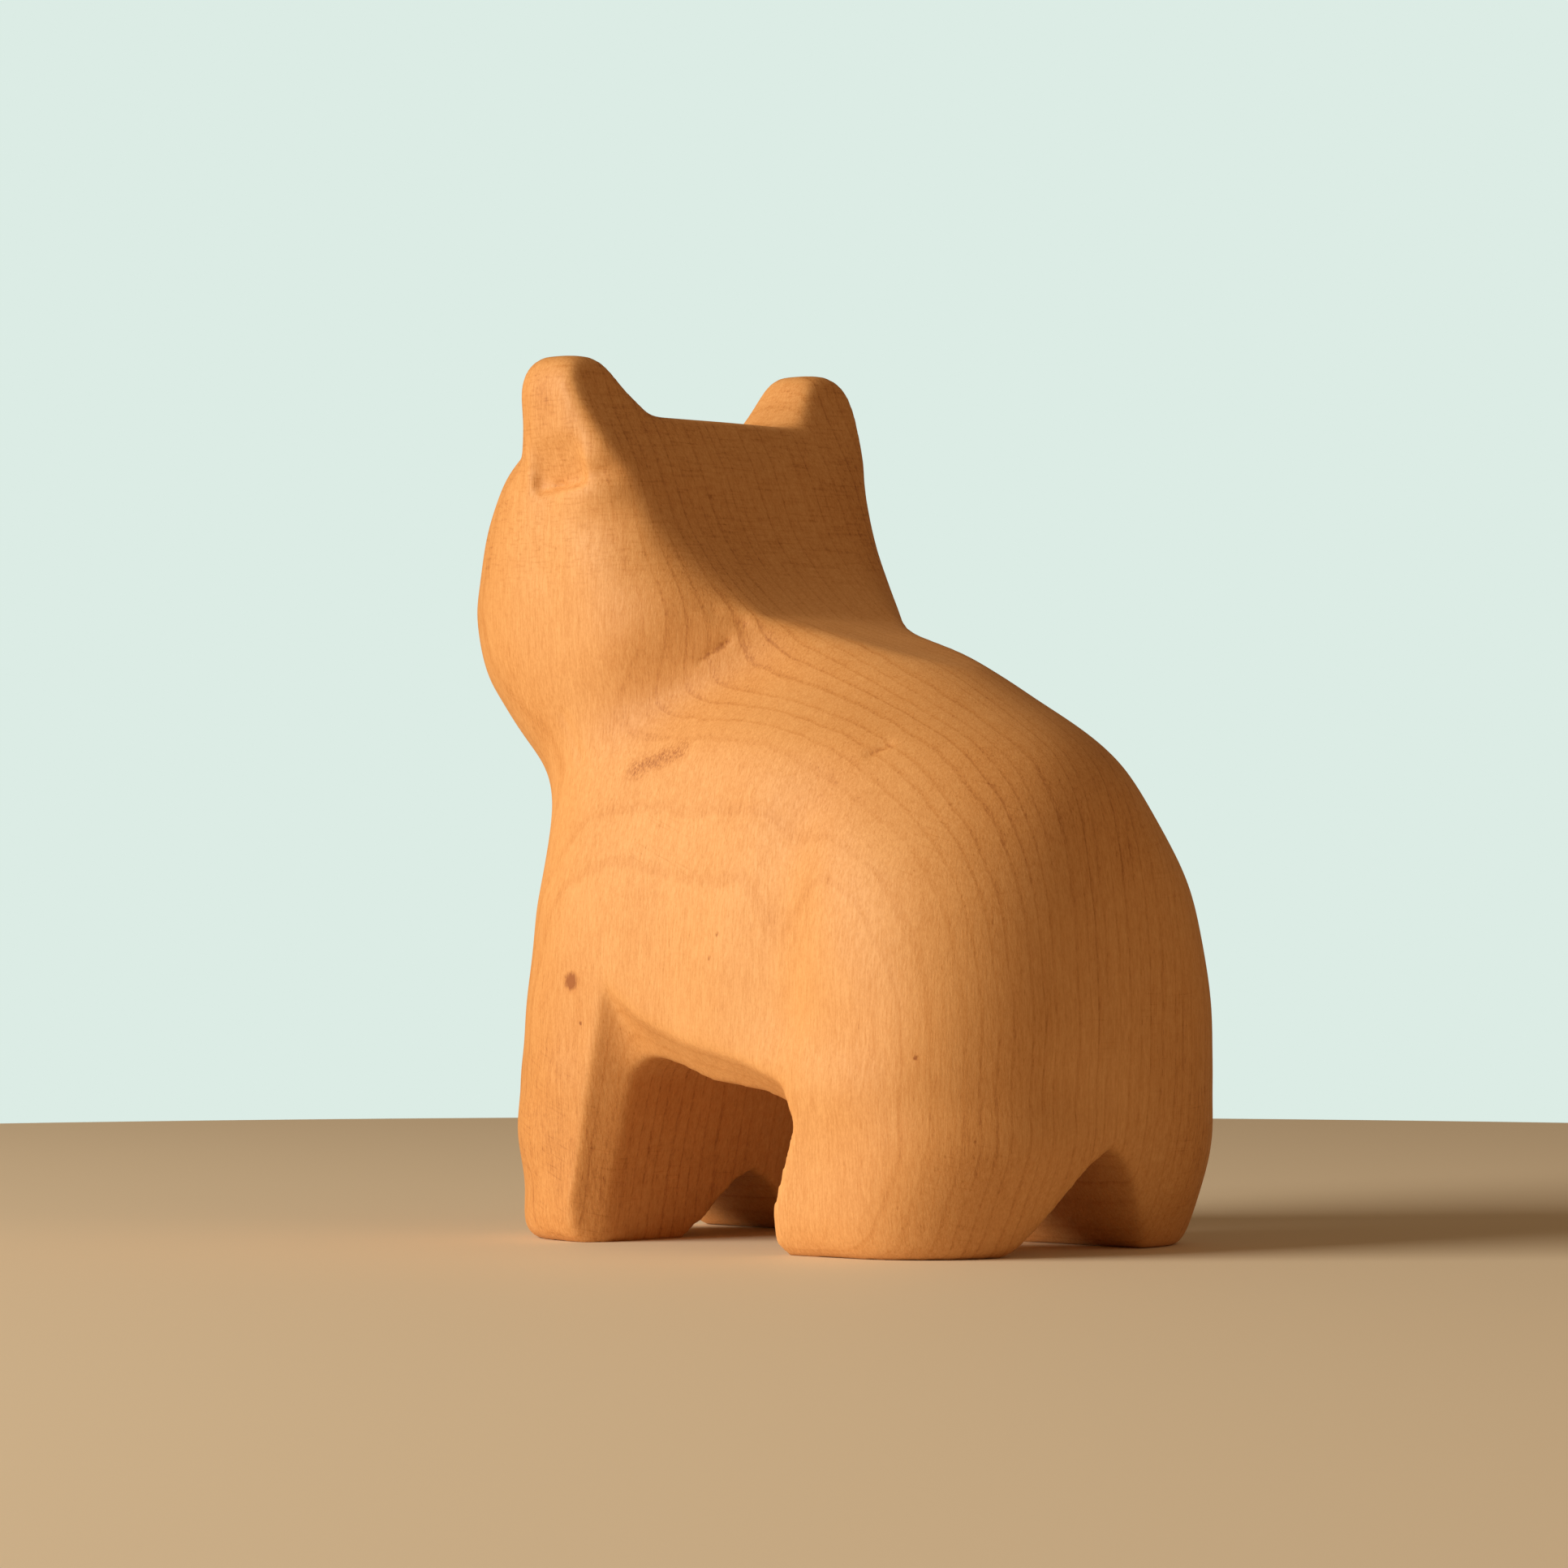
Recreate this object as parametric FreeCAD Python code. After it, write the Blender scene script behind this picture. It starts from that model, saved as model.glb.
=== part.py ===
"""Carved wooden bear cub.

One block of wood is whittled into a chunky standing bear. It is drawn as a stack of level outlines, which the
knife then cuts: a flat back of the head, an archway under the belly from flank to flank, pointed arches between
the front legs and between the rear legs, and a nick under each ear. Two eyes and a nose of dark wood are set
into drilled holes.

Millimetres. +Z is up, the face looks along -Y, the bear's left side is +X, and the soles are at z = 0.
"""
import FreeCAD
import Part
import math
import os
from collections import namedtuple

V = FreeCAD.Vector

# Driving dimensions of the block.
HEIGHT = 120.0          # soles to ear tips
LENGTH = 110.6          # nose to rump
HIP = 31.3              # half width at the hips
HEAD = 27.7             # half width at the cheeks
RUMP = LENGTH / 2       # furthest point at the back
TIP = -LENGTH / 2       # front of the nose
CHEST = -33.0           # front of the chest, at the throat
CREASE = 84.0           # height of the crease at the nape
NAPE = 3.8              # where that crease lies along the bear
OVERCUT = 1.0           # how far each cut runs past the wood

# Eyes: dowels with rounded ends, pressed into blind holes square to the face.
EYE_SPREAD = 10.5
EYE_HEIGHT = 95.0
EYE_FACE = CHEST - 13.7
EYE_DIRECTION = V(0.15, -1.0, 0.3)
EYE_DIAMETER = 5.0
EYE_DEPTH = 7.0
EYE_PROUD = 1.1

# Nose: an oval pad let into the muzzle, with a stem behind it.
NOSE_HEIGHT = 84.0
NOSE_HALF_WIDTH = 4.4
NOSE_HALF_HEIGHT = 3.0
NOSE_THICKNESS = 3.6
NOSE_ROUND = 0.9
STEM_DIAMETER = 4.0
STEM_LENGTH = 8.0

# An oval is a level rectangle with rounded corners. Each corner is a quarter of an ellipse, and its reach
# across and along the bear is given for the two front corners and for the two back corners.
Oval = namedtuple("Oval", "half_width front back front_round back_round")

# The block's outline at each level: round the trunk's oval, the skull's, or both with a soft valley between.
TRUNK = {
    0.0: Oval(HIP - 1.9, CHEST - 0.5, RUMP - 7.4, (16.0, 16.0), (14.5, 14.5)),
    2.4: Oval(HIP - 0.6, CHEST - 1.6, RUMP - 5.7, (16.5, 16.5), (16.5, 16.5)),
    10.0: Oval(HIP - 0.2, CHEST - 1.9, RUMP - 2.1, (17.0, 17.0), (18.0, 18.0)),
    18.0: Oval(HIP, CHEST - 1.8, RUMP - 0.5, (17.0, 17.0), (19.5, 19.5)),
    27.0: Oval(HIP, CHEST - 1.3, RUMP - 0.15, (17.5, 17.5), (20.0, 20.0)),
    34.0: Oval(HIP, CHEST - 0.8, RUMP - 0.2, (17.5, 17.5), (20.5, 20.5)),
    41.0: Oval(HIP - 0.3, CHEST - 0.2, RUMP - 0.7, (18.0, 18.0), (21.5, 22.5)),
    48.0: Oval(HIP - 1.1, CHEST + 0.2, RUMP - 1.5, (18.0, 18.0), (22.5, 25.0)),
    54.0: Oval(HIP - 2.2, CHEST + 0.4, RUMP - 2.5, (18.0, 18.0), (25.0, 29.0)),
    60.0: Oval(HIP - 3.6, CHEST + 0.4, RUMP - 4.1, (18.0, 17.0), (26.5, 35.0)),
    64.0: Oval(HIP - 4.8, CHEST + 0.6, RUMP - 6.4, (19.0, 18.0), (26.0, 39.0)),
    67.5: Oval(HIP - 6.3, CHEST + 1.2, RUMP - 10.2, (20.0, 18.0), (25.0, 41.0)),
    71.0: Oval(HIP - 9.1, CHEST + 3.0, RUMP - 15.7, (20.0, 20.0), (22.3, 39.0)),
    75.0: Oval(HIP - 12.9, CHEST + 7.0, RUMP - 22.5, (16.0, 20.0), (18.5, 34.0)),
    78.0: Oval(HIP - 14.9, CHEST + 10.0, RUMP - 28.6, (14.0, 18.0), (16.5, 29.0)),
    81.0: Oval(HIP - 16.5, CHEST + 13.0, RUMP - 35.5, (13.0, 16.0), (15.1, 22.0)),
    84.0: Oval(HIP - 17.6, CHEST + 15.0, NAPE + 6.6, (12.0, 12.0), (13.7, 12.0)),
}
SKULL = {
    60.0: Oval(HEAD - 8.2, CHEST - 0.2, CHEST + 15.0, (14.0, 8.0), (17.0, 8.0)),
    64.0: Oval(HEAD - 4.7, CHEST - 3.6, CHEST + 22.0, (15.5, 13.0), (19.5, 12.0)),
    67.5: Oval(HEAD - 2.7, CHEST - 7.0, NAPE - 10.5, (16.5, 16.0), (22.0, 17.0)),
    71.0: Oval(HEAD - 1.5, CHEST - 10.0, NAPE - 6.5, (17.5, 18.5), (24.5, 20.0)),
    75.0: Oval(HEAD - 0.7, CHEST - 13.2, NAPE - 3.0, (18.0, 20.0), (26.0, 20.0)),
    78.0: Oval(HEAD - 0.4, CHEST - 14.7, NAPE - 0.8, (18.0, 20.0), (27.0, 20.0)),
    81.0: Oval(HEAD - 0.2, CHEST - 15.5, NAPE + 1.2, (18.0, 20.0), (27.2, 20.5)),
    84.0: Oval(HEAD - 0.1, CHEST - 16.0, NAPE + 1.8, (18.0, 20.0), (27.6, 22.0)),
    88.5: Oval(HEAD, CHEST - 15.6, NAPE - 1.5, (18.0, 20.0), (27.7, 20.0)),
    93.0: Oval(HEAD, CHEST - 14.7, NAPE - 4.2, (18.0, 20.0), (27.7, 19.0)),
    98.0: Oval(HEAD, CHEST - 13.2, NAPE - 6.0, (18.0, 20.0), (27.7, 18.0)),
    103.0: Oval(HEAD, CHEST - 10.3, NAPE - 7.0, (18.0, 19.0), (27.7, 17.5)),
    107.5: Oval(HEAD - 0.4, CHEST - 5.2, NAPE - 8.0, (18.0, 17.0), (26.0, 16.5)),
    110.3: Oval(HEAD - 2.8, CHEST - 1.2, NAPE - 10.5, (17.0, 14.0), (22.0, 14.0)),
    112.0: Oval(HEAD - 5.5, CHEST + 2.0, NAPE - 14.0, (15.0, 11.0), (19.0, 11.0)),
}
VALLEY_SHARPNESS = 9.0
OUTLINE_POINTS = 32
HALVINGS = 30

# The ear is a squat horn: height, centre across and along, half width across and along.
EAR_RINGS = [
    (HEIGHT - 16.0, 19.7, -22.2, 8.1, 9.4),
    (HEIGHT - 10.0, 20.2, -22.4, 8.0, 9.2),
    (HEIGHT - 6.3, 21.7, -23.0, 6.7, 8.1),
    (HEIGHT - 3.7, 22.8, -23.5, 5.4, 7.2),
    (HEIGHT - 1.4, 23.1, -24.1, 4.2, 5.4),
    (HEIGHT, 23.2, -24.4, 2.2, 3.0),
]
EAR_ROUND = 0.75

# The muzzle: where the ring lies along the bear, its height, half width and half height.
MUZZLE_RINGS = [
    (TIP + 14.0, 79.5, 14.5, 12.0),
    (TIP + 7.0, 80.2, 12.0, 10.0),
    (TIP + 3.4, 81.0, 10.0, 8.0),
    (TIP + 1.6, 81.4, 7.4, 5.6),
]

MUZZLE_ROUND = 0.92

# The archway under the belly, from the rear edge of the front leg to the front edge of the rear leg. Each
# point has its place along the bear and its height on the inner rim, and then the same on the flank, where
# the knife's bevel ends.
BEVEL_DEPTH = 4.5
ARCHWAY = [
    (-13.2, -1.0, -16.6, -1.0),
    (-11.2, 9.0, -14.4, 10.0),
    (-7.6, 22.6, -10.2, 29.0),
    (-5.8, 24.4, -8.8, 35.1),
    (-3.2, 25.0, -6.2, 33.2),
    (1.0, 24.2, -2.5, 30.6),
    (7.0, 22.2, 6.6, 27.4),
    (17.0, 21.0, 17.2, 25.2),
    (22.0, 19.5, 24.6, 22.4),
    (25.0, 16.3, 26.6, 17.2),
    (23.8, 11.7, 24.6, 11.7),
    (21.8, 5.0, 22.4, 5.0),
    (22.0, 2.0, 22.4, 2.0),
    (23.6, -1.0, 24.4, -1.0),
]

# The arches between the legs: half width as a share of the width at the floor, height as a share of the apex.
LEG_ARCH = [(1.0, 0.0), (0.68, 0.33), (0.45, 0.64), (0.27, 0.84), (0.0, 1.0)]
REAR_ARCH_HALF_WIDTH = 13.0
REAR_ARCH_HEIGHT = 13.8
FRONT_ARCH_HALF_WIDTH = 11.5
FRONT_ARCH_HEIGHT = 8.8


def fullness(oval, x, y):
    """0 in the middle of the oval, 1 on its outline and more outside it."""
    front_corner = oval.front + oval.front_round[1]
    back_corner = oval.back - oval.back_round[1]
    towards_back = y > (front_corner + back_corner) / 2
    across, along = oval.back_round if towards_back else oval.front_round
    past_side = max(0.0, abs(x) - oval.half_width + across) / across
    past_end = max(0.0, y - back_corner if towards_back else front_corner - y) / along
    return math.hypot(past_side, past_end)


def joined(ovals, x, y):
    """The same for several ovals together, with a soft valley where they meet."""
    total = sum(math.exp(-VALLEY_SHARPNESS * fullness(oval, x, y)) for oval in ovals)
    return -math.log(total) / VALLEY_SHARPNESS


def outline(ovals, z):
    """A closed, level outline round the ovals, one smooth curve. The point on each ray is found by halving."""
    half_width = max(oval.half_width for oval in ovals)
    front = min(oval.front for oval in ovals)
    back = max(oval.back for oval in ovals)
    middle = (front + back) / 2
    points = []
    for i in range(OUTLINE_POINTS):
        turn = 2 * math.pi * (i + 0.5) / OUTLINE_POINTS
        ray = (half_width * math.cos(turn), (back - front) / 2 * math.sin(turn))
        inner = 0.0
        outer = 2.0
        for _ in range(HALVINGS):
            reach = (inner + outer) / 2
            if joined(ovals, reach * ray[0], middle + reach * ray[1]) < 1:
                inner = reach
            else:
                outer = reach
        points.append(V(outer * ray[0], middle + outer * ray[1], z))
    curve = Part.BSplineCurve()
    curve.interpolate(Points=points, PeriodicFlag=True)
    return Part.Wire([curve.toShape()])


def rounded(z, half_across, half_along, share):
    """A level outline round the middle, whose corners take that share of each side."""
    corner = (share * half_across, share * half_along)
    return outline([Oval(half_across, -half_along, half_along, corner, corner)], z)


def upright(half_width, half_height, share):
    """The same round the origin, standing in a plane across the bear."""
    ring = rounded(0.0, half_width, half_height, share)
    ring.rotate(V(0, 0, 0), V(1, 0, 0), 90)
    return ring


def both_sides(shape):
    return shape.fuse(shape.mirror(V(0, 0, 0), V(1, 0, 0)))


def prism(points, push):
    """A straight-sided solid: the flat shape through points, moved along push."""
    return Part.Face(Part.makePolygon(points + points[:1])).extrude(push)


def ear():
    wires = []
    for z, across, along, half_across, half_along in EAR_RINGS:
        ring = rounded(z, half_across, half_along, EAR_ROUND)
        ring.translate(V(across, along, 0))
        wires.append(ring)
    return Part.makeLoft(wires, True, False)


def muzzle():
    wires = []
    for along, height, half_width, half_height in MUZZLE_RINGS:
        ring = upright(half_width, half_height, MUZZLE_ROUND)
        ring.translate(V(0, along, height))
        wires.append(ring)
    return Part.makeLoft(wires, True, False)


def nape_cut():
    """Takes off the slightly hollow back of the head and ears, and the flat behind them on the shoulders."""
    side = -HIP - OVERCUT
    top = HEIGHT + OVERCUT
    shoulder = V(side, NAPE + 26.0, CREASE - 7.4)
    hollow = Part.BSplineCurve()
    hollow.interpolate([
        V(side, NAPE - 24.0, top),
        V(side, NAPE - 20.5, HEIGHT - 7.5),
        V(side, NAPE - 15.8, HEIGHT - 15.5),
        V(side, NAPE - 12.9, HEIGHT - 22.5),
        V(side, NAPE - 6.4, CREASE + 5.0),
        V(side, NAPE, CREASE),
    ])
    corners = [V(side, NAPE, CREASE), shoulder, V(side, RUMP, top), V(side, NAPE - 24.0, top)]
    straight = Part.makePolygon(corners)
    return Part.Face(Part.Wire([hollow.toShape()] + straight.Edges)).extrude(V(-2 * side, 0, 0))


def belly_cut():
    """The archway from flank to flank, with a bevel round its mouth on each side."""
    rim_x = HIP - BEVEL_DEPTH
    past_flank = 1.5
    rim = [V(0, along, up) for along, up, _, _ in ARCHWAY]
    flank = [V(0, along, up) for _, _, along, up in ARCHWAY]
    mouth = [start + (end - start) * past_flank for start, end in zip(rim, flank)]
    tunnel = prism(rim, V(rim_x, 0, 0))
    rings = [
        Part.makePolygon([point + V(rim_x, 0, 0) for point in rim + rim[:1]]),
        Part.makePolygon([point + V(rim_x + BEVEL_DEPTH * past_flank, 0, 0) for point in mouth + mouth[:1]]),
    ]
    bevel = Part.makeLoft(rings, True, True)
    return both_sides(tunnel.fuse(bevel))


def leg_arch(half_width, height, push):
    """The pointed arch between two legs, cut along the bear from its middle."""
    right = [V(half_width * share, 0, height * rise) for share, rise in LEG_ARCH]
    left = [V(-point.x, 0, point.z) for point in reversed(right[:-1])]
    below = [V(-half_width, 0, -OVERCUT), V(half_width, 0, -OVERCUT)]
    return prism(right + left + below, V(0, push, 0))


def ear_nick():
    """The knife's stop-cut under the ear: a sloping facet that ends in a ledge on the cheek."""
    top = HEIGHT - 11.5
    ledge = HEIGHT - 18.7
    facet_x = HEAD - 2.1
    outside = HEAD + 4.0
    wedge = [V(HEAD, 0, top), V(facet_x, 0, ledge), V(outside, 0, ledge + 0.6), V(outside, 0, top)]
    nick = prism(wedge, V(0, 10.0, 0))
    nick.translate(V(0, -26.4, 0))
    nick.rotate(V(HEAD, -21.4, ledge), V(1, 0, 0), 5)
    return nick


def eye_peg():
    """A dowel with a rounded end, lying along the eye's direction."""
    dowel = Part.makeCylinder(EYE_DIAMETER / 2, EYE_DEPTH + EYE_PROUD, V(0, 0, -EYE_DEPTH))
    front_edge = [edge for edge in dowel.Edges if edge.BoundBox.ZMin > 0]
    peg = dowel.makeFillet(EYE_PROUD, front_edge)
    turn = FreeCAD.Rotation(V(0, 0, 1), EYE_DIRECTION)
    return peg.transformed(FreeCAD.Placement(V(EYE_SPREAD, EYE_FACE, EYE_HEIGHT), turn).toMatrix())


def nose_peg():
    """An oval pad with rounded edges, and the stem that holds it."""
    wires = []
    for share, size in [(0.0, 0.55), (0.08, 0.86), (0.3, 1.0), (0.7, 0.97), (1.0, 0.8)]:
        ring = upright(NOSE_HALF_WIDTH * size, NOSE_HALF_HEIGHT * size, NOSE_ROUND)
        ring.translate(V(0, TIP + NOSE_THICKNESS * share, NOSE_HEIGHT))
        wires.append(ring)
    pad = Part.makeLoft(wires, True, False)
    start = V(0, TIP + NOSE_THICKNESS / 2, NOSE_HEIGHT)
    stem = Part.makeCylinder(STEM_DIAMETER / 2, NOSE_THICKNESS / 2 + STEM_LENGTH, start, V(0, 1, 0))
    return pad.fuse(stem).removeSplitter()


def carved_body(pegs):
    levels = sorted(TRUNK.keys() | SKULL.keys())
    ovals = [[part[z] for part in (TRUNK, SKULL) if z in part] for z in levels]
    block = Part.makeLoft([outline(*level) for level in zip(ovals, levels)], True, False)
    block = block.fuse([both_sides(ear()), muzzle()])
    block = block.cut(nape_cut())
    block = block.cut(belly_cut())
    block = block.cut(leg_arch(REAR_ARCH_HALF_WIDTH, REAR_ARCH_HEIGHT, RUMP + OVERCUT))
    block = block.cut(leg_arch(FRONT_ARCH_HALF_WIDTH, FRONT_ARCH_HEIGHT, TIP - OVERCUT))
    block = block.cut(both_sides(ear_nick()))
    block = block.cut(pegs)
    return block.removeSplitter()


def build():
    left_eye = eye_peg()
    right_eye = left_eye.mirror(V(0, 0, 0), V(1, 0, 0))
    nose = nose_peg()
    return {
        "carved_body": carved_body([left_eye, right_eye, nose]),
        "left_eye_peg": left_eye,
        "right_eye_peg": right_eye,
        "nose_peg": nose,
    }


os.makedirs("parts", exist_ok=True)
for name, shape in build().items():
    shape.exportStep("parts/" + name + ".step")
    state = "valid" if shape.isValid() else "INVALID"
    print(name, state, len(shape.Solids), "solid", round(shape.Volume, 1), "mm3")
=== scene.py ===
"""Looks of the carved wooden bear cub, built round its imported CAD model.

Metres, in the CAD frame: +Z is up, the face looks along -Y, and the soles are at z = 0. Shapes are worked
out in millimetres, because the carving is small.
"""
import math

import bmesh
import bpy
import numpy as np
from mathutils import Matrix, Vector


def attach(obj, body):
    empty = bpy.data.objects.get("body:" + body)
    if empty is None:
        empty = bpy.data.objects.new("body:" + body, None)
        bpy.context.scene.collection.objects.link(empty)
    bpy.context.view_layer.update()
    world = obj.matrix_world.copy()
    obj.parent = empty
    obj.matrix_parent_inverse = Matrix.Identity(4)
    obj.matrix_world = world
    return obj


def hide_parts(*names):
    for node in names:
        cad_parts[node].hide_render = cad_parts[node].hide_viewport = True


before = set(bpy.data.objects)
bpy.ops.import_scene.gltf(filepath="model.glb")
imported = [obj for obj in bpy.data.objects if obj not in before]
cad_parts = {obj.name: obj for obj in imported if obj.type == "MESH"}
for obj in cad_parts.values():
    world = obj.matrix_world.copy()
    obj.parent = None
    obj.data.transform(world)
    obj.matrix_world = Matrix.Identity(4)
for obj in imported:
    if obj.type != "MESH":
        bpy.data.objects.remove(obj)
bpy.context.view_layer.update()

MM = 0.001

# The camera: where it stands, and how it is turned from facing the object's axis.
CAMERA_AZIMUTH = 134.0
CAMERA_DISTANCE = 794.2 * MM
CAMERA_HEIGHT = 48.2 * MM
CAMERA_TURN_LEFT = 0.286
CAMERA_PITCH_UP = 0.972
CAMERA_LENS = 133.96

FLOOR_RADIUS = 410 * MM

# The carved body's mesh, and how many rounds of smoothing each part of it gets.
VOXEL = 0.74 * MM
EVEN_ROUNDS = 5
SANDED_ROUNDS = 8
WORN_ROUNDS = 140

# Places on the bear, in millimetres, as in its CAD model.
NAPE_Y = 3.8
CREASE_Z = 84.0
CREASE_HALF = 15.0
EYE = (10.5, -46.7, 95.0)
MUZZLE_Y = -53.0
EAR_ROOT = ((26.5, -26.0, 102.0), (26.5, -17.0, 102.0))
FAR_EAR_ROOT = ((-27.0, -30.0, 102.0), (-27.0, -14.0, 100.0))
CHEEK_VALLEY = ((24.0, -24.0, 66.0), (22.0, -3.0, 80.0))

# Hand carving, in millimetres: where it is, and how deep or high.
WAIST_Y = 24.0
WAIST_DEPTH = 1.0
LEG_NARROWEST_Z = 22.0
FORE_SWELL = 0.75
REAR_SWELL = 0.45
UNDULATION = 0.06
EYE_HOLLOW = 0.9
MOUTH_DEPTH = 0.95
NICK_DEPTH = 0.35
SOLE_FLAT = 0.12

# Marks on the left side: stray knife nicks and a brown figure in the grain, both from one end to the other,
# then dark flecks, and a pin knot on the fore leg.
NICKS = (((19, 0, 84), (16, 2.5, 83)), ((21, -2.5, 86), (18.5, -0.5, 85)), ((19.5, -2, 78), (17.5, 1, 80.5)),
         ((26.5, -22, 71), (26.5, -18.5, 65)), ((21.5, 31, 65), (19.5, 32.5, 66)))
FIGURE = ((27, -7.5, 63.5), (26, 0.5, 66))
FLECKS = ((31, 12.5, 41.5), (31, 11, 38.5), (31.5, -13, 29.5), (28.5, 45.5, 26), (23.5, 51.5, 15.5))
PIN_KNOT = (31, -15, 35)

# Growth rings lie across the bear, about this far apart. The last one that shows is this far to its left.
RING_SPACING = 2.1
RING_OFFSET = 29.9


def rgb(red, green, blue):
    """A colour written as on a screen, 0 to 255, as the linear colour that a shader takes."""
    return tuple(((c / 255 + 0.055) / 1.055) ** 2.4 if c > 10 else c / 3294.6 for c in (red, green, blue))


PALE_WOOD = rgb(226, 168, 106)
MIDDLE_WOOD = rgb(206, 143, 80)
BROWN_WOOD = rgb(158, 94, 44)
DARK_PEG = rgb(38, 22, 14)
PALER_PEG = rgb(64, 38, 24)
FLOOR_CREAM = rgb(228, 212, 186)
ROOM_MINT = rgb(220, 236, 229)
ROOM_GLOW = (1.0, 0.66, 0.36)
ROOM_GLOW_STRENGTH = 0.17


def read_points(mesh):
    points = np.zeros(len(mesh.vertices) * 3)
    mesh.vertices.foreach_get("co", points)
    return points.reshape(-1, 3)


def read_links(mesh):
    links = np.zeros(len(mesh.edges) * 2, int)
    mesh.edges.foreach_get("vertices", links)
    return links.reshape(-1, 2)


def write_points(mesh, points):
    mesh.vertices.foreach_set("co", points.astype(np.float32).ravel())
    mesh.update()


def add_object(name, mesh):
    made = bpy.data.objects.new(name, mesh)
    bpy.context.scene.collection.objects.link(made)
    return made


def neighbour_mean(points, links):
    """The mean of each point's neighbours."""
    count = np.bincount(links.ravel(), minlength=len(points))
    mean = np.empty_like(points)
    for axis in range(3):
        total = np.bincount(links[:, 0], points[links[:, 1], axis], len(points))
        total += np.bincount(links[:, 1], points[links[:, 0], axis], len(points))
        mean[:, axis] = total / np.maximum(count, 1)
    return mean


def smooth(points, links, rounds):
    """Smooths without shrinking: each round moves a point in, then a little less far back out."""
    for _ in range(rounds):
        points = points + 0.5 * (neighbour_mean(points, links) - points)
        points = points - 0.48 * (neighbour_mean(points, links) - points)
    return points


def relax(points, links, rounds, share):
    """Smooths each point by its own share, and lets creases fill."""
    for _ in range(rounds):
        points = points + 0.5 * share[:, None] * (neighbour_mean(points, links) - points)
    return points


def filled_holes():
    """Copies of the pegs, a little fatter and sunk below the surface, which close the body's holes."""
    growth = 1.06
    depth = 2.0 * MM
    inwards = {"left_eye_peg": (-0.15, 1.0, -0.3), "right_eye_peg": (0.15, 1.0, -0.3),
               "nose_peg": (0.0, 1.0, 0.0)}
    for node, inward in inwards.items():
        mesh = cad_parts[node].data.copy()
        points = read_points(mesh)
        centre = points.mean(0)
        sink = np.array(Vector(inward).normalized()) * depth
        write_points(mesh, centre + (points - centre) * growth + sink)
        yield mesh


def remeshed_body():
    joined = bmesh.new()
    joined.from_mesh(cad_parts["carved_body"].data)
    for mesh in filled_holes():
        joined.from_mesh(mesh)
    raw = bpy.data.meshes.new("raw_body")
    joined.to_mesh(raw)
    joined.free()
    shell = add_object("raw_body", raw)
    remesh = shell.modifiers.new("voxels", "REMESH")
    remesh.mode = "VOXEL"
    remesh.voxel_size = VOXEL
    graph = bpy.context.evaluated_depsgraph_get()
    mesh = bpy.data.meshes.new_from_object(shell.evaluated_get(graph))
    bpy.data.objects.remove(shell)
    return mesh


def bell(distance, width):
    """1 at no distance, and fading to nothing by about twice the width."""
    return np.exp(-(distance / width) ** 2)


def ease(value, start, end):
    """0 before start, 1 after end, and a smooth step between them."""
    t = np.clip((value - start) / (end - start), 0, 1)
    return t * t * (3 - 2 * t)


def from_segment(points, start, end):
    """Each point's distance from the straight line between two places."""
    start = np.array(start, float)
    line = np.array(end, float) - start
    along = np.clip((points - start) @ line / (line @ line), 0, 1)
    return np.linalg.norm(points - start - along[:, None] * line, axis=1)


def on_left(points):
    """Every place, or its mirror image, on the bear's left side."""
    return np.abs(points) * [1, 0, 0] + points * [0, 1, 1]


def crispness(points):
    """1 where the knife's edges stay sharp, and 0 where the wood is sanded round."""
    y, z = points.T[1:]
    crease_ends = ((-CREASE_HALF, NAPE_Y, CREASE_Z), (CREASE_HALF, NAPE_Y, CREASE_Z))
    crease = bell(from_segment(points, *crease_ends), 6.0)
    nick = bell(from_segment(points, *EAR_ROOT), 4.5)
    archway = ease(-z, -42.0, -36.0) * ease(y, -20.0, -17.0) * ease(-y, -29.0, -26.5)
    return np.clip(crease + nick + archway, 0, 1)


def worn(points):
    """1 where the wood is rubbed smoothest: between cheek and shoulder, and at the far ear's root."""
    valley = bell(from_segment(on_left(points), *CHEEK_VALLEY), 13.0)
    ear_root = bell(from_segment(points, *FAR_EAR_ROOT), 7.0)
    return np.clip(valley + ear_root, 0, 1)


def undulation(points):
    """Gentle hills and hollows, about 1 high, as a knife and sandpaper leave them."""
    random = np.random.default_rng(7)
    waves = 14
    total = np.zeros(len(points))
    for _ in range(waves):
        direction = random.normal(size=3)
        direction /= np.linalg.norm(direction)
        wavelength = random.uniform(15.0, 34.0)
        total += np.sin(points @ direction * 2 * math.pi / wavelength + random.uniform(0, 2 * math.pi))
    return total / math.sqrt(waves)


def carve_face(points):
    """How far the face's hollows and the mouth's line are cut in."""
    mirrored = on_left(points)
    front = ease(-points[:, 1], 38.0, 44.0)
    hollow = EYE_HOLLOW * bell(np.linalg.norm(mirrored - EYE, axis=1), 5.0) * front
    under_nose = (0.0, MUZZLE_Y - 1, 80.5)
    middle = (0.0, MUZZLE_Y, 77.6)
    bend = (4.6, MUZZLE_Y + 0.5, 76.6)
    corner = (8.2, MUZZLE_Y + 5.0, 77.2)
    strokes = ((under_nose, middle), (middle, bend), (bend, corner))
    to_mouth = np.minimum.reduce([from_segment(mirrored, *stroke) for stroke in strokes])
    return hollow + MOUTH_DEPTH * bell(to_mouth, 0.8)


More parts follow.
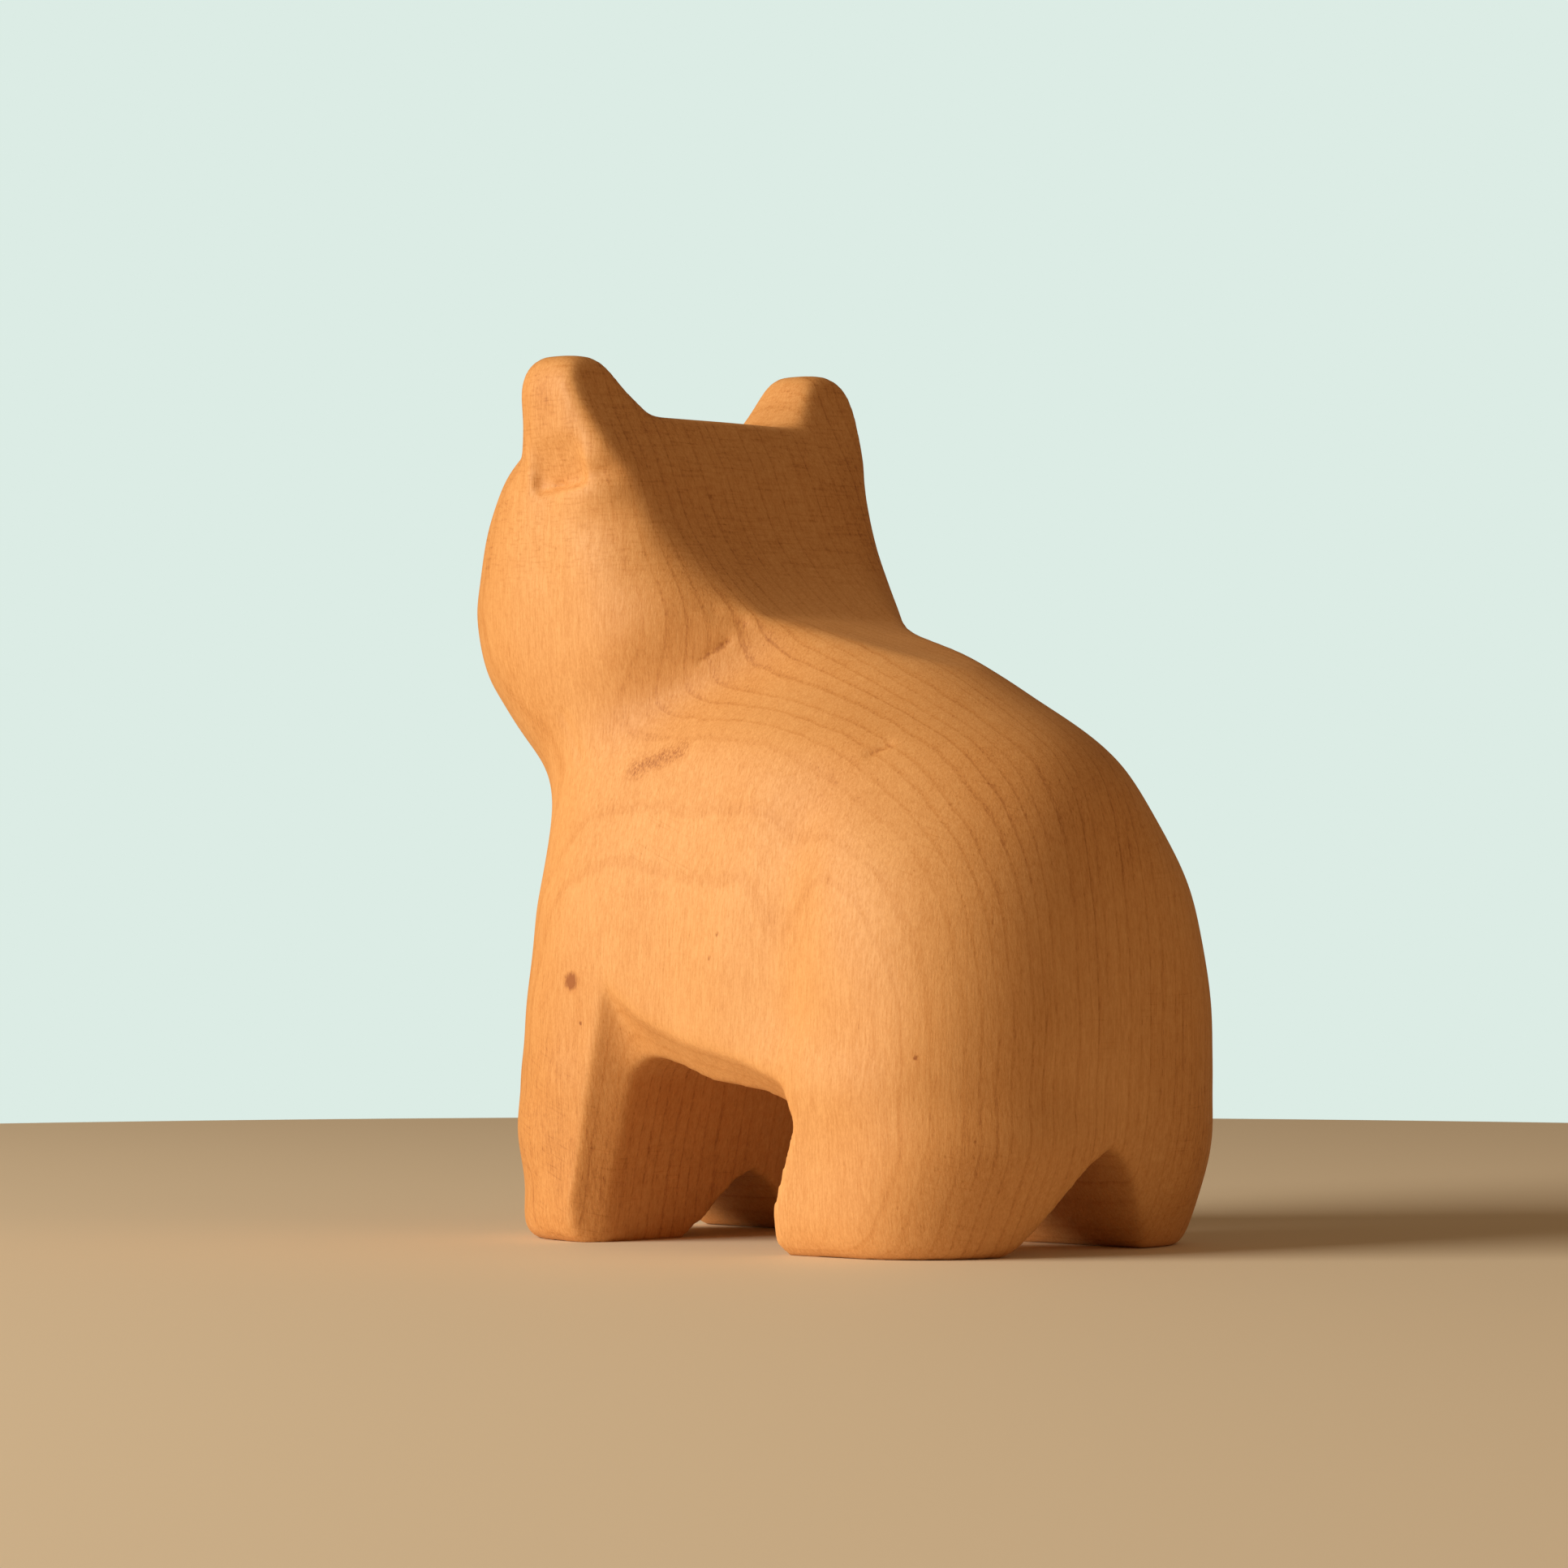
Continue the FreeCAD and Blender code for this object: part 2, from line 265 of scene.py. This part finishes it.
def leg_swell(points, normals):
    """How far the legs' outer sides swell, low down, so that each runs straight to its sole."""
    y, z = points.T[1:]
    outward = normals[:, 0] * np.sign(points[:, 0])
    fore = FORE_SWELL * ease(-y, 12.0, 20.0) * np.clip(1.4 * outward, 0, 1)
    rear = REAR_SWELL * ease(y, 22.0, 30.0) * np.clip(outward, 0, 1)
    return (fore + rear) * bell(z - LEG_NARROWEST_Z, 4.2) * ease(np.abs(points[:, 0]), 10.0, 16.0)


def carve_nicks(points):
    """How far the stray cuts of the knife go in."""
    return NICK_DEPTH * sum(bell(from_segment(points, *nick), 0.6) for nick in NICKS)


def read_normals(mesh):
    normals = np.zeros(len(mesh.vertices) * 3)
    mesh.vertices.foreach_get("normal", normals)
    return normals.reshape(-1, 3)


def carve_body():
    mesh = remeshed_body()
    mesh.name = "bear_body"
    points = read_points(mesh) / MM
    links = read_links(mesh)

    points = smooth(points, links, EVEN_ROUNDS)
    soft = 1 - crispness(points)
    points = relax(points, links, SANDED_ROUNDS, 0.15 + 0.85 * soft)
    points = relax(points, links, WORN_ROUNDS, worn(points) * soft)

    x, y, z = points.T
    flank = ease(z, 24.0, 32.0) * ease(-z, -68.0, -54.0) * ease(np.abs(x), 18.0, 26.0)
    points[:, 0] -= np.sign(x) * WAIST_DEPTH * bell(y - WAIST_Y, 6.0) * flank
    write_points(mesh, points * MM)

    normals = read_normals(mesh)
    away_from_sole = ease(points[:, 2], 0.5, 4.0)
    points += normals * (UNDULATION * undulation(points) * away_from_sole * soft)[:, None]
    points += normals * (leg_swell(points, normals) - carve_face(points) - carve_nicks(points))[:, None]
    points[points[:, 2] < SOLE_FLAT, 2] = 0.0
    write_points(mesh, points * MM)
    for face in mesh.polygons:
        face.use_smooth = True
    return add_object("bear_body", mesh)


class Nodes:
    """Builds a material's nodes. A value may be a number, a colour or another node's output."""

    def __init__(self, name):
        self.material = bpy.data.materials.new(name)
        self.material.use_nodes = True
        self.tree = self.material.node_tree
        self.shader = self.tree.nodes["Principled BSDF"]

    def put(self, socket, value):
        if isinstance(value, bpy.types.NodeSocket):
            self.tree.links.new(value, socket)
        else:
            socket.default_value = value

    def add(self, kind, values=(), **settings):
        made = self.tree.nodes.new(kind)
        for key, value in settings.items():
            setattr(made, key, value)
        for key, value in dict(values).items():
            self.put(made.inputs[key], value)
        return made

    def calc(self, operation, *values):
        made = self.add("ShaderNodeMath", operation=operation)
        for socket, value in zip(made.inputs, values):
            self.put(socket, value)
        return made.outputs[0]

    def vector(self, operation, *values):
        made = self.add("ShaderNodeVectorMath", operation=operation)
        for socket, value in zip(made.inputs, values):
            self.put(socket, value)
        return made.outputs[0]

    def noise(self, place, scale=1.0, detail=2.0, roughness=0.5):
        made = self.add("ShaderNodeTexNoise", {"Vector": place, "Scale": scale, "Detail": detail,
                                               "Roughness": roughness})
        return made.outputs["Fac"]

    def ramp(self, value, *stops):
        made = self.add("ShaderNodeValToRGB", {"Fac": value})
        line = made.color_ramp.elements
        while len(line) < len(stops):
            line.new(0.5)
        for element, (position, level) in zip(line, stops):
            element.position = position
            element.color = (level, level, level, 1) if isinstance(level, float) else (*level, 1)
        return made.outputs["Color"]

    def remap(self, value, low, high, to_low, to_high):
        made = self.add("ShaderNodeMapRange", {"Value": value, "From Min": low, "From Max": high,
                                               "To Min": to_low, "To Max": to_high})
        return made.outputs[0]

    def stretched(self, place, scale, **settings):
        """Noise with its own scale along each axis: the smaller the scale, the longer the strokes."""
        return self.noise(self.vector("MULTIPLY", place, scale), **settings)

    def plus(self, total, value, amount):
        """The total with that amount of the value added."""
        return self.calc("ADD", total, self.calc("MULTIPLY", value, amount))

    def fading(self, gap, width):
        """1 where the gap is 0, fading to 0 where it is as wide as the width."""
        made = self.add("ShaderNodeMapRange", {"Value": gap, "From Min": width, "From Max": 0.0},
                        interpolation_type="SMOOTHSTEP")
        return made.outputs[0]

    def gap(self, place, other):
        made = self.add("ShaderNodeVectorMath", {0: place, 1: other}, operation="DISTANCE")
        return made.outputs["Value"]

    def spot(self, place, centre, radius):
        """1 at a place, fading to 0 at its radius."""
        return self.fading(self.gap(place, centre), radius)

    def near(self, place, start, end, width):
        """1 on the line between two places, fading to 0 at its width."""
        line = [b - a for a, b in zip(start, end)]
        length_squared = sum(c * c for c in line)
        offset = self.vector("SUBTRACT", place, start)
        dot = self.add("ShaderNodeVectorMath", {0: offset, 1: line}, operation="DOT_PRODUCT")
        along = self.calc("DIVIDE", dot.outputs["Value"], length_squared)
        foot = self.vector("SCALE", line)
        self.put(foot.node.inputs["Scale"], self.calc("MINIMUM", self.calc("MAXIMUM", along, 0.0), 1.0))
        return self.fading(self.gap(offset, foot), width)


def ring_lines(n, mm, x):
    """Growth rings: layers across the bear that wander slowly, with a thin dark line where each one ends."""
    wander = n.remap(n.stretched(mm, (0.02, 0.022, 0.014), detail=1.0), 0.25, 0.75, -0.85, 0.85)
    ripple = n.remap(n.stretched(mm, (0.10, 0.22, 0.10), detail=2.0), 0.25, 0.75, -0.22, 0.22)
    spread = n.remap(n.stretched(mm, (0.23, 0.0, 0.0), detail=0.0), 0.25, 0.75, -0.7, 0.7)
    depth = n.calc("ADD", n.calc("SUBTRACT", x, RING_OFFSET), wander)
    depth = n.calc("ADD", depth, n.calc("ADD", ripple, spread))
    ring = n.calc("DIVIDE", n.calc("MINIMUM", depth, 0.6 * RING_SPACING), RING_SPACING)
    number = n.calc("FLOOR", ring)
    strength = n.add("ShaderNodeTexWhiteNoise", {"W": number}, noise_dimensions="1D").outputs["Value"]
    line = n.ramp(n.calc("FRACT", ring), (0.0, 0.10), (0.06, 0.0), (0.55, 0.10), (0.76, 0.30), (0.86, 1.0),
                  (0.95, 1.0), (1.0, 0.10))
    return n.calc("MULTIPLY", line, n.remap(strength, 0, 1, 0.45, 1.0))


def sanding_scratches(n, mm):
    """Scratches that cross the grain, in patches."""
    crossed = n.add("ShaderNodeMapping", {"Vector": mm, "Rotation": (0.35, 0.0, 0.0)}).outputs[0]
    scratch = n.stretched(crossed, (0.16, 0.16, 3.4), detail=2.0)
    patch = n.ramp(n.stretched(mm, (0.05, 0.05, 0.05), detail=1.0), (0.48, 0.0), (0.62, 1.0))
    return n.calc("MULTIPLY", n.ramp(scratch, (0.60, 0.0), (0.72, 1.0)), patch)


def saw_marks(n, mm, z):
    """Saw and plane marks across the back of the head, where the knife didn't reach."""
    sawn = n.stretched(mm, (0.22, 0.5, 2.6), detail=2.0)
    return n.calc("MULTIPLY", n.ramp(sawn, (0.50, 0.0), (0.72, 1.0)), n.remap(z, 86.0, 92.0, 0.0, 1.0))


def marks(n, mm, fuzz):
    """How much darker the marks are: nicks, flecks, a brown figure and the pin knot."""
    wobble = n.add("ShaderNodeTexNoise", {"Vector": mm, "Scale": 0.9}).outputs["Color"]
    ragged = n.vector("ADD", mm, n.vector("SUBTRACT", wobble, (0.5, 0.5, 0.5)))
    total = n.calc("MULTIPLY", n.near(ragged, *FIGURE, 2.4), n.remap(fuzz, 0.3, 0.7, 0.1, 0.7))
    for nick in NICKS:
        total = n.plus(total, n.near(ragged, *nick, 0.7), 0.38)
    for place in FLECKS:
        total = n.plus(total, n.spot(ragged, place, 0.55), 0.9)
    return n.plus(total, n.spot(ragged, PIN_KNOT, 1.9), 1.3)


def body_wood():
    n = Nodes("body_wood")
    at = n.add("ShaderNodeTexCoord").outputs["Object"]
    mm = n.vector("SCALE", at)
    mm.node.inputs["Scale"].default_value = 1 / MM
    x, _, z = n.add("ShaderNodeSeparateXYZ", {"Vector": mm}).outputs
    line = ring_lines(n, mm, x)
    scratch = sanding_scratches(n, mm)

    # Fibres run up and down: fine dark strokes on the sides, which become a fuzz of dots on the end grain.
    strokes = n.stretched(mm, (3.3, 3.3, 0.42), detail=3.0, roughness=0.65)
    streaks = n.stretched(mm, (0.9, 0.9, 0.05), detail=2.0)
    blotch = n.stretched(mm, (0.045, 0.045, 0.03), detail=3.0)
    fuzz = n.stretched(mm, (4.5, 4.5, 2.2), detail=3.0, roughness=0.6)
    pores = n.ramp(n.stretched(mm, (3.6, 3.6, 0.55), detail=1.0), (0.70, 0.0), (0.80, 1.0))

    # The wood's tone, from 0 for the palest to 1 for the brownest.
    tone = n.calc("ADD", n.calc("MULTIPLY", line, 0.27), 0.22)
    texture = ((strokes, -0.16, 0.22), (streaks, -0.06, 0.07), (blotch, -0.16, 0.20), (fuzz, -0.10, 0.14))
    for value, low, high in texture:
        tone = n.calc("ADD", tone, n.remap(value, 0.3, 0.7, low, high))
    for value, amount in ((pores, 0.30), (scratch, 0.16), (saw_marks(n, mm, z), 0.22)):
        tone = n.plus(tone, value, amount)
    tone = n.calc("ADD", tone, marks(n, mm, fuzz))

    # Painted highlight: convex edges, found by pointiness, are painted a little paler, as if catching light.
    pointiness = n.add("ShaderNodeNewGeometry").outputs["Pointiness"]
    tone = n.calc("SUBTRACT", tone, n.remap(pointiness, 0.505, 0.56, 0.0, 0.20))
    colour = n.ramp(tone, (0.0, PALE_WOOD), (0.5, MIDDLE_WOOD), (1.0, BROWN_WOOD))
    n.put(n.shader.inputs["Base Color"], colour)
    n.put(n.shader.inputs["Roughness"], n.remap(strokes, 0.3, 0.7, 0.50, 0.64))
    n.shader.inputs["Specular IOR Level"].default_value = 0.35

    height = n.plus(n.calc("MULTIPLY", strokes, 0.55), fuzz, 0.45)
    height = n.plus(height, n.calc("ADD", line, scratch), -0.12)
    bump = n.add("ShaderNodeBump", {"Height": height, "Strength": 0.6, "Distance": 0.10 * MM})
    n.put(n.shader.inputs["Normal"], bump.outputs[0])
    return n.material


def dark_wood():
    n = Nodes("dark_wood")
    at = n.add("ShaderNodeTexCoord").outputs["Object"]
    fine = n.stretched(at, (2600, 900, 2600), detail=3.0)
    n.put(n.shader.inputs["Base Color"], n.ramp(fine, (0.3, DARK_PEG), (0.7, PALER_PEG)))
    n.put(n.shader.inputs["Roughness"], n.remap(fine, 0.3, 0.7, 0.28, 0.40))
    return n.material


def pale_floor():
    n = Nodes("pale_floor")
    n.shader.inputs["Base Color"].default_value = (*FLOOR_CREAM, 1)
    n.shader.inputs["Roughness"].default_value = 0.7
    return n.material


def add_floor():
    disc = bmesh.new()
    bmesh.ops.create_circle(disc, cap_ends=True, segments=256, radius=FLOOR_RADIUS)
    mesh = bpy.data.meshes.new("floor")
    disc.to_mesh(mesh)
    disc.free()
    floor = add_object("floor", mesh)
    floor.location.z = -0.02 * MM
    mesh.materials.append(pale_floor())
    return floor


def aim(thing, direction):
    thing.rotation_mode = "QUATERNION"
    thing.rotation_quaternion = direction.to_track_quat("-Z", "Y")


def add_camera():
    data = bpy.data.cameras.new("camera")
    data.lens = CAMERA_LENS
    camera = add_object("camera", data)
    azimuth = math.radians(CAMERA_AZIMUTH)
    across = CAMERA_DISTANCE * math.sin(azimuth)
    behind = -CAMERA_DISTANCE * math.cos(azimuth)
    camera.location = (across, behind, CAMERA_HEIGHT)
    heading = azimuth + math.radians(CAMERA_TURN_LEFT)
    pitch = math.radians(CAMERA_PITCH_UP)
    level = math.cos(pitch)
    aim(camera, Vector((-math.sin(heading) * level, math.cos(heading) * level, math.sin(pitch))))
    bpy.context.scene.camera = camera


def add_light(name, azimuth, elevation, distance, size, power, colour):
    """A square soft light that shines on the bear's middle from that azimuth and elevation."""
    data = bpy.data.lights.new(name, "AREA")
    data.size = size
    data.energy = power
    data.color = colour
    light = add_object(name, data)
    a = math.radians(azimuth)
    e = math.radians(elevation)
    away = Vector((math.sin(a) * math.cos(e), -math.cos(a) * math.cos(e), math.sin(e)))
    light.location = Vector((0, 0, 0.06)) + away * distance
    aim(light, -away)


def add_world():
    """A pale mint room, which lights the bear less, and more warmly, than it shows."""
    world = bpy.data.worlds.new("studio")
    world.use_nodes = True
    tree = world.node_tree
    shown = tree.nodes["Background"]
    shown.inputs["Color"].default_value = (*ROOM_MINT, 1)
    shown.inputs["Strength"].default_value = 1.0
    lit = tree.nodes.new("ShaderNodeBackground")
    lit.inputs["Color"].default_value = (*ROOM_GLOW, 1)
    lit.inputs["Strength"].default_value = ROOM_GLOW_STRENGTH
    ray = tree.nodes.new("ShaderNodeLightPath")
    mix = tree.nodes.new("ShaderNodeMixShader")
    tree.links.new(ray.outputs["Is Camera Ray"], mix.inputs[0])
    tree.links.new(lit.outputs[0], mix.inputs[1])
    tree.links.new(shown.outputs[0], mix.inputs[2])
    tree.links.new(mix.outputs[0], tree.nodes["World Output"].inputs[0])
    bpy.context.scene.world = world


def add_lights():
    add_light("key", 68, 21.5, distance=1.3, size=0.8, power=21.5, colour=(1.0, 0.90, 0.74))
    add_light("fill", 190, 30, distance=1.5, size=1.2, power=2.4, colour=ROOM_GLOW)


body = carve_body()
body.data.materials.clear()
body.data.materials.append(body_wood())
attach(body, "root")
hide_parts("carved_body")

pegs = dark_wood()
for name in ("left_eye_peg", "right_eye_peg", "nose_peg"):
    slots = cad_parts[name].material_slots
    for entry in slots:
        entry.material = pegs

floor = add_floor()
add_camera()
add_lights()
add_world()
bpy.context.scene.view_settings.view_transform = "Standard"
